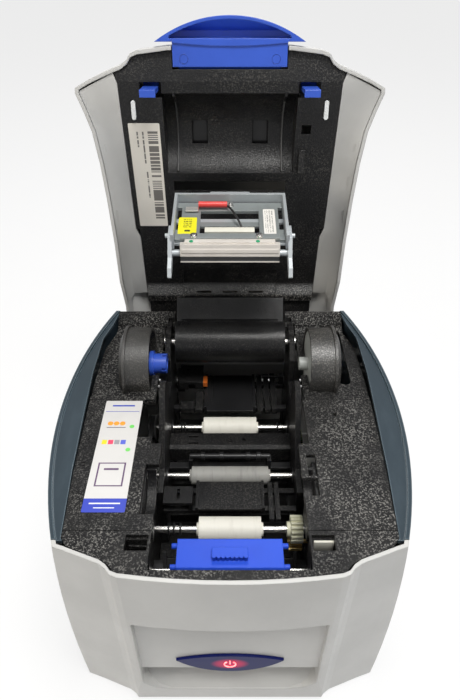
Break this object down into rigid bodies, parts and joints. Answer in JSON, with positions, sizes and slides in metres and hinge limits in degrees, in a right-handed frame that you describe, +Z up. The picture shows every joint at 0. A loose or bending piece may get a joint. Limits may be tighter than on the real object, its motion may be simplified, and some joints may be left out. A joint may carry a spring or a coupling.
{
  "type": "id card printer",
  "caption": "Desktop card printer with a raised lid, sprung print head, feed rollers driven by a belt, spool drums, a lift-out cleaning cartridge and a front card scoop.",
  "frame": {"origin": "on the table, under the middle of the printer's overall box", "axes": "+Z up, front towards -Y, +X to the right of someone facing the front"},
  "size_m": [0.2372, 0.2847, 0.3909],
  "materials": {
    "white_abs": "fine satin texture",
    "smoke_panel": "tinted and glossy, nearly opaque",
    "black_moulding": "grained",
    "black_smooth": "smooth",
    "latch_blue": "satin blue",
    "cream_gear": "smooth nylon",
    "white_tyre": "smooth silicone rubber",
    "grey_sleeve": "matt rubber",
    "steel": "turned",
    "belt_rubber": "matt rubber",
    "foot_rubber": "matt rubber",
    "carrier_grey": "pressed sheet, grey",
    "plate_grey": "satin",
    "heat_metal": "machined",
    "white_nylon": "smooth",
    "crimp_red": "smooth sleeve",
    "pulley_grey": "smooth",
    "motor_case": "satin black steel",
    "brass": "machined",
    "board_green": "solder mask",
    "sensor_orange": "moulded",
    "clear_pipe": "frosted clear plastic",
    "button_blue": "deep blue, glossy",
    "cleaning_rubber": "tacky"
  },
  "bodies": {
    "casing": {"base_pan": "white_abs", "rubber_feet": "foot_rubber", "front_panel": "white_abs", "left_side_panel": "smoke_panel", "right_side_panel": "smoke_panel", "rear_panel": "white_abs", "rear_deck": "black_moulding", "left_deck": "black_moulding", "right_deck": "black_moulding", "front_deck": "black_moulding", "left_side_plate": "black_moulding", "right_side_plate": "black_moulding", "chassis_floor": "black_moulding", "left_drum": "black_smooth", "right_drum": "black_smooth", "spool_cradles": "black_moulding", "hinge_pins": "steel", "roller_bushes": "black_smooth", "card_floor": "black_smooth", "guide_rails": "black_moulding", "sensor_block": "black_moulding", "card_sensor": "sensor_orange", "sensor_bar": "black_moulding", "pinch_rod": "black_smooth", "centre_tray": "black_moulding", "exit_chute": "black_smooth", "cross_rods": "steel", "feed_belt": "belt_rubber", "feed_motor": "motor_case", "circuit_board": "board_green", "power_inlet": "black_smooth"},
    "lid": {"lid_shell": "white_abs", "lid_cheeks": "white_abs", "lid_liner": "black_moulding", "hinge_barrel": "black_moulding", "light_pipes": "clear_pipe", "head_hanger": "black_moulding"},
    "latch": {"latch": "latch_blue"},
    "print_head": {"head_carrier": "carrier_grey", "head_plate": "plate_grey", "heat_bar": "heat_metal", "head_connector": "white_nylon", "head_screws": "steel", "crimp_terminal": "crimp_red"},
    "rear_roller": {"rear_shaft": "steel", "rear_tyre": "white_tyre", "rear_pulley": "pulley_grey"},
    "platen": {"platen_shaft": "steel", "platen_sleeve": "grey_sleeve", "platen_pulley": "pulley_grey"},
    "front_roller": {"front_shaft": "steel", "front_tyre": "white_tyre", "front_pulley": "pulley_grey", "roller_gears": "cream_gear"},
    "pinion": {"feed_pinion": "brass"},
    "left_hub": {"left_spool_hub": "latch_blue"},
    "right_disc": {"right_spool_disc": "white_nylon"},
    "cartridge": {"cleaning_cartridge": "latch_blue"},
    "cleaner": {"cleaning_roller": "cleaning_rubber"},
    "button": {"power_button": "button_blue"}
  },
  "joints": [
    {"name": "lid_hinge", "type": "hinge", "parent": "casing", "child": "lid", "pos_m": [0, 0.069, 0.166], "axis": [1, 0, 0], "range_deg": [0, 98]},
    {"name": "latch_pivot", "type": "hinge", "parent": "lid", "child": "latch", "pos_m": [0, 0.11177, 0.35539], "axis": [-1, 0, 0], "range_deg": [-2, 5], "stiffness_Nm_per_rad": 0.6},
    {"name": "head_pivot", "type": "hinge", "parent": "lid", "child": "print_head", "pos_m": [0, 0.10182, 0.27449], "axis": [1, 0, 0], "range_deg": [-1, 4], "stiffness_Nm_per_rad": 3},
    {"name": "front_roller_spin", "type": "hinge", "parent": "casing", "child": "front_roller", "pos_m": [0, -0.0698, 0.1135], "axis": [1, 0, 0], "continuous": true},
    {"name": "rear_roller_spin", "type": "hinge", "parent": "casing", "child": "rear_roller", "pos_m": [0, 0.024, 0.1135], "axis": [1, 0, 0], "continuous": true},
    {"name": "platen_spin", "type": "hinge", "parent": "casing", "child": "platen", "pos_m": [0, -0.0256, 0.1152], "axis": [1, 0, 0], "continuous": true},
    {"name": "pinion_spin", "type": "hinge", "parent": "casing", "child": "pinion", "pos_m": [0, -0.0698, 0.09913], "axis": [1, 0, 0], "continuous": true},
    {"name": "left_hub_spin", "type": "hinge", "parent": "casing", "child": "left_hub", "pos_m": [0, 0.035, 0.172], "axis": [1, 0, 0], "continuous": true},
    {"name": "right_disc_spin", "type": "hinge", "parent": "casing", "child": "right_disc", "pos_m": [0, 0.035, 0.172], "axis": [1, 0, 0], "continuous": true},
    {"name": "cartridge_lift", "type": "slide", "parent": "casing", "child": "cartridge", "axis": [0, 0, -1], "range_m": [-0.025, 0]},
    {"name": "cleaner_spin", "type": "hinge", "parent": "cartridge", "child": "cleaner", "pos_m": [0, -0.1205, 0.14], "axis": [1, 0, 0], "continuous": true},
    {"name": "button_press", "type": "slide", "parent": "casing", "child": "button", "axis": [0, 1, 0], "range_m": [0, 0.001], "stiffness_N_per_m": 400}
  ],
  "couplings": [
    {"joint": "rear_roller_spin", "follows": "front_roller_spin", "ratio": 1},
    {"joint": "platen_spin", "follows": "front_roller_spin", "ratio": 1.2537},
    {"joint": "pinion_spin", "follows": "front_roller_spin", "ratio": -1.5}
  ]
}
